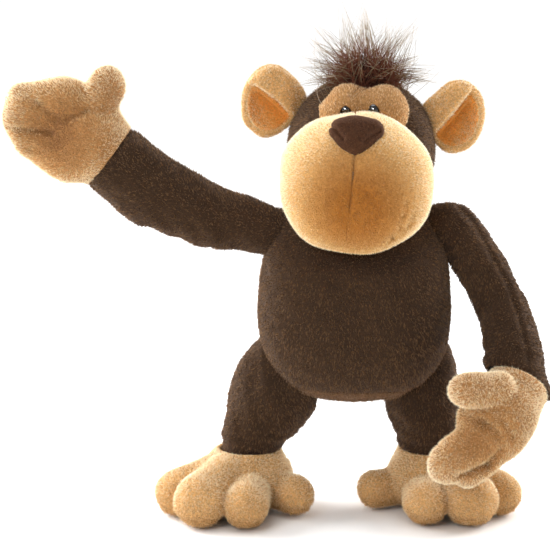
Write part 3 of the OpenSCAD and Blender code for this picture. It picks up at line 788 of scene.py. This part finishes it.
def fold_side(p, e):
    """Positive below the edge of the folded top, seen from the front."""
    rows = spline([(*f, 0) for f in e["fold"]], 4)
    sides = []
    for a, b in zip(rows[:-1], rows[1:]):
        s = along(p, a, b)
        turn = (p[0] - a[0]) * (b[1] - a[1]) - (p[2] - a[1]) * (b[0] - a[0])
        sides.append((s, turn * -e["sign"]))
    d = sides[0][0]
    way = sides[0][1]
    for s, turn in sides[1:]:
        nearer = s < d
        d, way = np.where(nearer, s, d), np.where(nearer, turn, way)
    return np.where(way > 0, d, -d)


def ear_parts(p, e):
    q = turned(p, e["at"], "Y", e["lean"])
    x, y, z = p[0] - e["at"][0], p[1] - e["at"][1], p[2] - e["at"][2]
    body = egg(q, vec(e["wide"], 8.5, e["tall"]) - UNDER * 0.6)
    body = join(body, egg((x + e["sign"] * 14, y + 1, z), vec(15, 8, 16)), 6)
    below = fold_side(p, e)
    flap = egg((q[0], q[1] + 7.0, q[2]), vec(e["wide"] - 2, 8.5, e["tall"] - 2))
    flap = meet(flap, below + 1.0, 2.6)
    body = join(body, flap, 2.0)
    dish = egg((q[0], q[1] + 9.8, q[2] + 1), vec(e["wide"] - 4.0, 13.0, e["tall"] - 5.5))
    dish = meet(dish, 1.5 - below, 2.5)
    return body, dish


def ear(e):
    def form(p):
        body, dish = ear_parts(p, e)
        return meet(body, -dish, 2.4) + lumps(p, 16, 0.35, 41)
    return form


def ear_lining(e):
    def form(p):
        body, dish = ear_parts(p, e)
        return meet(np.abs(dish + 0.4) - 1.1, body + 0.8, 0.8)
    return form


# ---------------------------------------------------------------- pieces
DOWN = (0, 0, -1)
TORSO_BOX = ((-80, -70, 82), (88, 70, 264))
ARM_BOX_R = ((-285, -45, 190), (-20, 40, 365))
ARM_BOX_L = ((50, -125, 25), (165, 35, 255))
LEG_BOX_R = ((-157, -100, -6), (3, 52, 175))
LEG_BOX_L = ((-18, -100, -6), (142, 52, 175))
panel("torso_front", ["torso_front"], torso, lambda p: np.maximum(p[1] + GAP, SEAT_SEAM - p[2] + GAP),
      "torso", "brown_plush", BROWN, TORSO_BOX, 2.0, comb=(0, -0.2, -1), hidden=[muzzle, head], seed=1)
panel("torso_back", ["torso_back"], torso, lambda p: np.maximum(GAP - p[1], SEAT_SEAM - p[2] + GAP),
      "torso", "brown_plush", BROWN, TORSO_BOX, 2.0, comb=(0, 0.2, -1), hidden=[head], seed=2)
panel("seat_panel", ["seat_panel"], torso, lambda p: p[2] - SEAT_SEAM + GAP, "torso", "seat_plush", SEAT,
      TORSO_BOX, 1.8, comb=(0, -1, 0.2), seed=3)


def neck(p):
    ring = np.sqrt((p[0] - NECK[0]) ** 2 + p[1] ** 2)
    return np.sqrt(np.maximum(ring - 22, 0) ** 2 + (p[2] - 229.5) ** 2) - 4.5 + lumps(p, 12, 0.3, 50)


panel("neck_ring", ["neck_ring"], neck, None, "neck", "brown_plush", BROWN,
      ((-25, -35, 218), (42, 35, 242)), 1.5)

HEAD_BOX = ((-56, -64, 222), (72, 64, 348))
EAR_FORMS = {s: ear(e) for s, e in EARS.items()}
panel("head_side_right", ["head_side_right"], head, lambda p: p[0] - NECK[0] + GAP, "head",
      "brown_plush", BROWN, HEAD_BOX, 2.0, comb=(-0.3, 0.5, -0.8),
      hidden=[muzzle, brow, EAR_FORMS["right"]], seed=5)
panel("head_side_left", ["head_side_left"], head, lambda p: NECK[0] - p[0] + GAP, "head",
      "brown_plush", BROWN, HEAD_BOX, 2.0, comb=(0.3, 0.5, -0.8),
      hidden=[muzzle, brow, EAR_FORMS["left"]], seed=6)
EYES = [middle("eye_right")[0], middle("eye_left")[0]]


def eye_holes(p):
    d = None
    for e in EYES:
        s = rod(p, vec(e[0], -80, e[2] - 1.8), vec(e[0], -20, e[2] - 1.8), 4.3, 4.3)
        d = s if d is None else np.minimum(d, s)
    return d


panel("face_panel", ["face_panel"], brow, lambda p: np.maximum(-head(p) + 0.3, -eye_holes(p)),
      "head", "tan_plush", BROW, ((-20, -62, 296), (52, 0, 348)), 1.4, comb=(0, 0.2, 1), length=2.2,
      density=1.1, width=0.3, hidden=[muzzle], seed=7)
MUZZLE_BOX = ((-62, -114, 212), (72, -10, 326))


def radial(roots):
    return roots - (NOSE_MID + vec(-3, 0, -14))


def closed(p):
    """How far the two muzzle cheeks run into each other: less under the nose than below."""
    return 0.7 - 0.5 * ramp(252, 276, p[2])


def face_tone_and_painted_light(roots):
    """0 on the orange middle of the muzzle, 1 on its cream rim: partly the cloth's own tone, partly painted shade
    in the middle and painted rim light at the rim.
    """
    return ramp(12, 66, np.linalg.norm((roots - FACE_MID) * vec(1, 0.8, 0.95), axis=1))


MUZZLE_PILE = dict(tint=face_tone_and_painted_light, comb=radial, length=2.0, density=2.6, width=0.22, lean=24,
                   hidden=[nose, head], wild=8.0)
for name, keep, seed in (
        ("muzzle_right", lambda p: np.maximum(p[0] - muzzle_mid(p[2]) - closed(p), chin_side(p) + GAP), 8),
        ("muzzle_left", lambda p: np.maximum(muzzle_mid(p[2]) - p[0] - closed(p), chin_side(p) + GAP), 9),
        ("chin_panel", lambda p: GAP - chin_side(p), 10)):
    panel(name, [name], muzzle, keep, "head", "cream_plush", CREAM, MUZZLE_BOX, 1.6, seed=seed,
          **MUZZLE_PILE)
panel("nose", ["nose"], nose, None, "head", "nose_velour", NOSE, ((-24, -116, 286), (34, -64, 334)), 1.0,
      thick=30.0, fill=0.9, comb=(0, -0.2, -1), length=1.1, density=3.0, width=0.17, wild=0.6, seed=11)

for s, e in EARS.items():
    hinge = PIVOT["ear_flop_" + s]
    rule = ("head", "ear_" + s, hinge, hinge + vec(e["sign"] * 15, 0, 0))
    box = (e["at"] - vec(36, 24, 36), e["at"] + vec(36, 22, 36))
    out = e["sign"]
    lining = ear_lining(e)
    panel("ear_back_" + s, ["ear_back_" + s], EAR_FORMS[s], None, rule, "tan_plush", LOBE, box, 1.3,
          thick=40, fill=0.5, comb=(out, 0, 0.5), length=2.1, density=1.8, width=0.24, lean=30, wild=0.9,
          hidden=[head, lambda p: lining(p) - 0.5], seed=12)
    # the lining's fibres get paler toward its outer, lower rim: partly the lining's own tone, partly painted shade
    # under the fold and painted light on the rim
    panel("ear_inner_" + s, ["ear_inner_" + s], lining, None, rule, "ear_plush", EAR, box, 0.8,
          thick=9, fill=0.4, comb=(out, -0.6, 0.2), length=2.2, density=3.6, width=0.25, lean=30,
          tint=lambda r: ramp(-8, 22, (r[:, 0] - e["at"][0]) * out - 0.5 * (r[:, 2] - e["at"][2])),
          seed=14)

# Distances along an arm from its shoulder: where its two sleeves meet and how far each runs
# past that, and spans at the shoulder and the elbow put into each sleeve's rule, which attach does not use
SPLIT, LAP = 37.0, 3.0
SHOULDER_FROM, SHOULDER_TO = -10, 30
ELBOW_FROM = 42
WRIST_LAP = 0.3                # a sleeve and its hand each run this far past their seam
WRIST_FROM, WRIST_TO = 2, 32   # a span past the seam, put into each hand's rule, which attach does not use
for s, form, shoulder, elbow, wrist, seam, other, hand, hand_split, box in (
        ("right", arm_right, SHOULDER_R, ELBOW_R, WRIST_R, WRIST_SEAM_R, [torso, muzzle], hand_right, -3.0,
         ARM_BOX_R),
        ("left", arm_left, SHOULDER_L, ELBOW_L, WRIST_L, WRIST_SEAM_L, [torso, muzzle], hand_left, -83.0,
         ARM_BOX_L)):
    upper = (elbow - shoulder) / np.linalg.norm(elbow - shoulder)
    long_way = np.linalg.norm(elbow - shoulder)
    fore = (wrist - elbow) / np.linalg.norm(wrist - elbow)
    mark = shoulder + upper * SPLIT
    panel("upper_sleeve_" + s, ["upper_sleeve_" + s], form, lambda p: plane(p, mark, upper) - LAP,
          ("torso", "upper_arm_" + s, shoulder + upper * SHOULDER_FROM, shoulder + upper * SHOULDER_TO),
          "brown_plush", BROWN, box, 1.8, edge=0.05, comb=tuple(upper), hidden=other, seed=15)
    panel("fore_sleeve_" + s, ["fore_sleeve_" + s], form,
          lambda p: np.maximum(-plane(p, mark, upper) - LAP, plane(p, *seam) - WRIST_LAP),
          ("upper_arm_" + s, "forearm_" + s, shoulder + upper * ELBOW_FROM,
           shoulder + upper * (2 * long_way - ELBOW_FROM)),
          "brown_plush", BROWN, box, 1.8, edge=0.05, comb=tuple(fore), hidden=other[:1], seed=16)
    rule = ("forearm_" + s, "hand_" + s, seam[0] + seam[1] * WRIST_FROM, seam[0] + seam[1] * WRIST_TO)
    tips = (wrist - elbow) if s == "right" else vec(-0.7, -0.3, -0.6)
    # the middle of the palm, where painted shade makes the pile darkest, and how pale the pile is there; it grows
    # paler outward as painted light on the hand's edges
    painted_shade_middle = vec(-220, -20, 300) if s == "right" else vec(98, -100, 80)
    least = 0.0 if s == "right" else 0.4
    for part, flip in (("palm", 1 if s == "right" else -1), ("back", -1 if s == "right" else 1)):
        panel(f"hand_{part}_{s}", [f"hand_{part}_{s}"], hand,
              lambda p: np.maximum(-WRIST_LAP - plane(p, *seam), flip * (p[1] - hand_split) + GAP),
              rule, "tan_plush", HAND, box, 1.6, edge=0.4, comb=tuple(tips),
              tint=lambda r: least + (1 - least) * ramp(
                  0, 52, np.linalg.norm((r - painted_shade_middle) * vec(1, 0.8, 1), axis=1)),
              length=2.7, density=1.7, width=0.24, lean=30, wild=0.9,
              seed=17 + flip)

TUCK = 1.8                # a leg's sleeve runs this far down over its foot
HIP_FROM, HIP_TO = 132, 88             # heights from the trunk to the leg, put into each leg sleeve's rule, which attach does not use
ANKLE_FROM, ANKLE_TO = CUFF + 2, 31    # and from the leg to the foot, put into each foot's rule, likewise not used
for s, form, hip, ankle, shoe, side in (("right", leg_right, HIP_R, ANKLE_R, foot_right, -1),
                                        ("left", leg_left, HIP_L, ANKLE_L, foot_left, 1)):
    box = LEG_BOX_R if side < 0 else LEG_BOX_L
    panel("leg_sleeve_" + s, ["leg_sleeve_" + s], form, lambda p: CUFF - p[2] - TUCK,
          ("torso", "leg_" + s, vec(hip[0], hip[1], HIP_FROM), vec(hip[0], hip[1], HIP_TO)),
          "brown_plush", BROWN, box, 1.8, comb=DOWN, hidden=[torso], seed=21)
    rule = ("leg_" + s, "foot_" + s, vec(ankle[0], ankle[1], ANKLE_FROM),
            vec(ankle[0], ankle[1], ANKLE_TO))
    # the foot pile is darker low down and paler upward: painted shade near the floor and painted light on the tops
    # of the feet
    tan = dict(comb=(0, -0.6, -0.6), length=2.7, density=1.6, width=0.25, lean=30, wild=0.9, floor=2.0,
               tint=lambda r: 0.25 + 0.7 * ramp(0, 38, r[:, 2]))
    panel("foot_upper_" + s, ["foot_upper_" + s], shoe,
          lambda p: np.maximum(p[2] - CUFF, SOLE_SEAM - p[2] + GAP),
          rule, "tan_plush", TAN, box, 1.6, edge=0.4, hidden=[form], seed=22, **tan)
    panel("foot_sole_" + s, ["foot_sole_" + s], shoe, lambda p: p[2] - SOLE_SEAM + GAP, "foot_" + s,
          "tan_plush", TAN, box, 1.6, edge=0.4, seed=23, **tan)

# ---------------------------------------------------------------- hair
SCALP = 57.0               # radius that the hair's roots stand on
SHADE_ENDS = (15, 29, 42)  # distances from the crown where its colour changes


def hair():
    """Clumps of long strands that fan out from the crown, three short ones to two long."""
    rng = np.random.default_rng(SEED + 60)
    crown = vec(10.5, -12, NECK[2] + 53)
    shades = [fibre("hair_dark", (58, 28, 16), 0.0), fibre("hair_red", (106, 58, 36), 0.0),
              fibre("hair_olive", (116, 98, 70), 0.1), fibre("hair_ash", (176, 160, 142), 0.2)]
    verts, quads, tris, marks_q, marks_t = [], [], [], [], []
    rings, clumps, count = 6, 58, 0
    corners = (0, 2 * math.pi / 3, 4 * math.pi / 3)
    for c in range(clumps):
        around = 2 * math.pi * (c * 0.618 % 1) + rng.normal() * 0.1
        rise = math.asin(c / clumps) * 0.95 - 0.09 + rng.normal() * 0.09
        way = vec(math.cos(around) * math.cos(rise), 0.72 * math.sin(around) * math.cos(rise),
                  math.sin(rise))
        way /= np.linalg.norm(way)
        tip = way * rng.uniform(54, 72) * (0.88 if rise < 0.6 or rise > 1.2 else 1)
        loose = rng.uniform(0.4, 1.5)
        for _ in range(int(rng.integers(30, 50))):
            short = rng.random() < 0.62
            grow = rng.uniform(0.2, 0.56) if short else rng.uniform(0.72, 1.06)
            foot_at = vec(rng.normal() * 8.5 + way[0] * 9, rng.normal() * 6.5 + way[1] * 6, 0)
            start = vec(crown[0], crown[1], 0) + foot_at
            drop = (start[0] - NECK[0]) ** 2 + start[1] ** 2
            start[2] = NECK[2] + math.sqrt(max(SCALP ** 2 - drop, 1)) - 2
            end = crown + tip * grow + rng.normal(size=3) * loose * (3.2 if short else 0.8)
            bend = start + vec(foot_at[0] * 0.3, foot_at[1] * 0.3, 9) + (end - start) * 0.25
            t = np.linspace(0, 1, rings + 1)[:, None]
            curve = (1 - t) ** 2 * start + 2 * t * (1 - t) * bend + t ** 2 * end
            curve += rng.normal(size=3) * t * (1 - t) * 5
            r = (0.30 if short else 0.25) * rng.uniform(0.7, 1.3) * (1 - 0.82 * t[:, 0])
            tang = np.gradient(curve, axis=0)
            tang /= np.linalg.norm(tang, axis=1, keepdims=True)
            side = np.cross(tang, vec(0.3, 0.9, 0.2))
            side /= np.linalg.norm(side, axis=1, keepdims=True)
            up = np.cross(tang, side)
            verts.append(np.array([curve[k] + (side[k] * math.cos(a) + up[k] * math.sin(a)) * r[k]
                                   for k in range(rings) for a in corners] + [curve[rings]]))
            base = count
            count += 3 * rings + 1
            far_out = np.linalg.norm(curve - crown, axis=1) + rng.normal() * 4
            for k in range(rings - 1):
                mark = int(np.searchsorted(SHADE_ENDS, far_out[k]))
                for a in range(3):
                    b = (a + 1) % 3
                    row = base + 3 * k
                    quads.append((row + a, row + b, row + 3 + b, row + 3 + a))
                    marks_q.append(mark)
            top = base + 3 * (rings - 1)
            for a in range(3):
                tris.append((top + a, top + (a + 1) % 3, top + 3))
                marks_t.append(int(np.searchsorted(SHADE_ENDS, far_out[rings])))
            tris.append((base, base + 2, base + 1))
            marks_t.append(0)
    ob = mesh_object("hair_tuft", np.vstack(verts), [np.array(quads), np.array(tris)], shades,
                     np.array(marks_q + marks_t))
    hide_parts("hair_tuft")
    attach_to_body(ob, "head")


hair()

# ---------------------------------------------------------------- inside and hard parts
def filling(name, form, body, material, reach, inset, keep=None, cell=3.0):
    def inner(p):
        d = form(p) + inset + lumps(p, 15, 0.6, 70)
        return meet(d, keep(p), 2.0) if keep else d
    verts, quads = solve(inner, reach, cell)
    ob = mesh_object(name, verts, [quads], [material])
    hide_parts(name)
    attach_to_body(ob, body)


# Stuffing keeps this far inside the cloth, and this far along a limb from a shoulder, so
# that cloth that is pulled round a joint has nothing solid under it
CLEAR, BARE = 4.6, 34.0
ELBOW_ROOM, WRIST_ROOM, SEAM_ROOM, HAND_ROOM = 22, 10, 7, 28    # bare lengths at the arm's joints
LEG_TOP, FOOT_TOP = 90, 30                                      # highest stuffing in leg and foot


def pouch(at, half, seed):
    return lambda p: egg([p[i] - at[i] for i in range(3)], half) + lumps(p, 7, 0.5, seed)


def outside(form, gap=1.0):
    return lambda p: gap - form(p)


def both(*parts):
    return lambda p: np.maximum.reduce([f(p) for f in parts])


SEAT_BAG = pouch(*middle("seat_bean_bag"), 71)
filling("torso_stuffing", torso, "torso", WADDING, TORSO_BOX, CLEAR,
        both(outside(SEAT_BAG), outside(head, 4.5)))
filling("seat_bean_bag", SEAT_BAG, "torso", POUCH, TORSO_BOX, 0.0, cell=1.6)
filling("neck_stuffing", neck, "neck", WADDING, ((-25, -35, 218), (42, 35, 242)), 3.2, cell=1.4)
filling("head_stuffing", head, "head", WADDING, HEAD_BOX, CLEAR)
filling("muzzle_stuffing", muzzle, "head", WADDING, MUZZLE_BOX, CLEAR, outside(head, 0.5))
for s, form, shoulder, elbow, wrist, seam, hand, box in (
        ("right", arm_right, SHOULDER_R, ELBOW_R, WRIST_R, WRIST_SEAM_R, hand_right, ARM_BOX_R),
        ("left", arm_left, SHOULDER_L, ELBOW_L, WRIST_L, WRIST_SEAM_L, hand_left, ARM_BOX_L)):
    upper = (elbow - shoulder) / np.linalg.norm(elbow - shoulder)
    fore = (wrist - elbow) / np.linalg.norm(wrist - elbow)
    away = outside(torso, 2.0)
    filling("upper_stuffing_" + s, form, "upper_arm_" + s, WADDING, box, CLEAR,
            lambda p: np.maximum.reduce([away(p), -plane(p, shoulder + upper * BARE, upper),
                                         plane(p, elbow - upper * ELBOW_ROOM, upper)]))
    filling("fore_stuffing_" + s, form, "forearm_" + s, WADDING, box, CLEAR,
            lambda p: np.maximum.reduce([-plane(p, elbow + fore * ELBOW_ROOM, fore),
                                         plane(p, wrist - fore * WRIST_ROOM, fore),
                                         plane(p, *seam) + SEAM_ROOM]))
    filling("hand_stuffing_" + s, hand, "hand_" + s, WADDING, box, CLEAR + 1.5,
            lambda p: HAND_ROOM - plane(p, *seam))
for s, form, shoe, ankle, box in (("right", leg_right, foot_right, ANKLE_R, LEG_BOX_R),
                                  ("left", leg_left, foot_left, ANKLE_L, LEG_BOX_L)):
    away = outside(torso, 2.0)
    bag = pouch(*middle("foot_bean_bag_" + s), 72)
    filling("leg_stuffing_" + s, form, "leg_" + s, WADDING, box, CLEAR,
            lambda p: np.maximum.reduce([away(p), CUFF + 10 - p[2], p[2] - LEG_TOP]))
    filling("foot_stuffing_" + s, shoe, "foot_" + s, WADDING, box, CLEAR,
            lambda p: np.maximum(outside(bag)(p), p[2] - FOOT_TOP))
    filling("foot_bean_bag_" + s, lambda p: np.maximum(bag(p), shoe(p) + CLEAR), "foot_" + s,
            POUCH, box, 0.0, cell=1.6)
for n, ob in frame["nodes"].items():
    slot_of = next(s["material_slot"] for s in frame["record"]["subparts"] if s["node"] == n)
    finish = {"stuffing": WADDING, "wire_steel": STEEL, "bean_cloth": POUCH, "washer_plastic": WASHER,
              "eye_plastic": EYE}.get(slot_of)
    if finish:
        ob.data.materials.clear()
        ob.data.materials.append(finish)
        for f in ob.data.polygons:
            f.material_index = 0
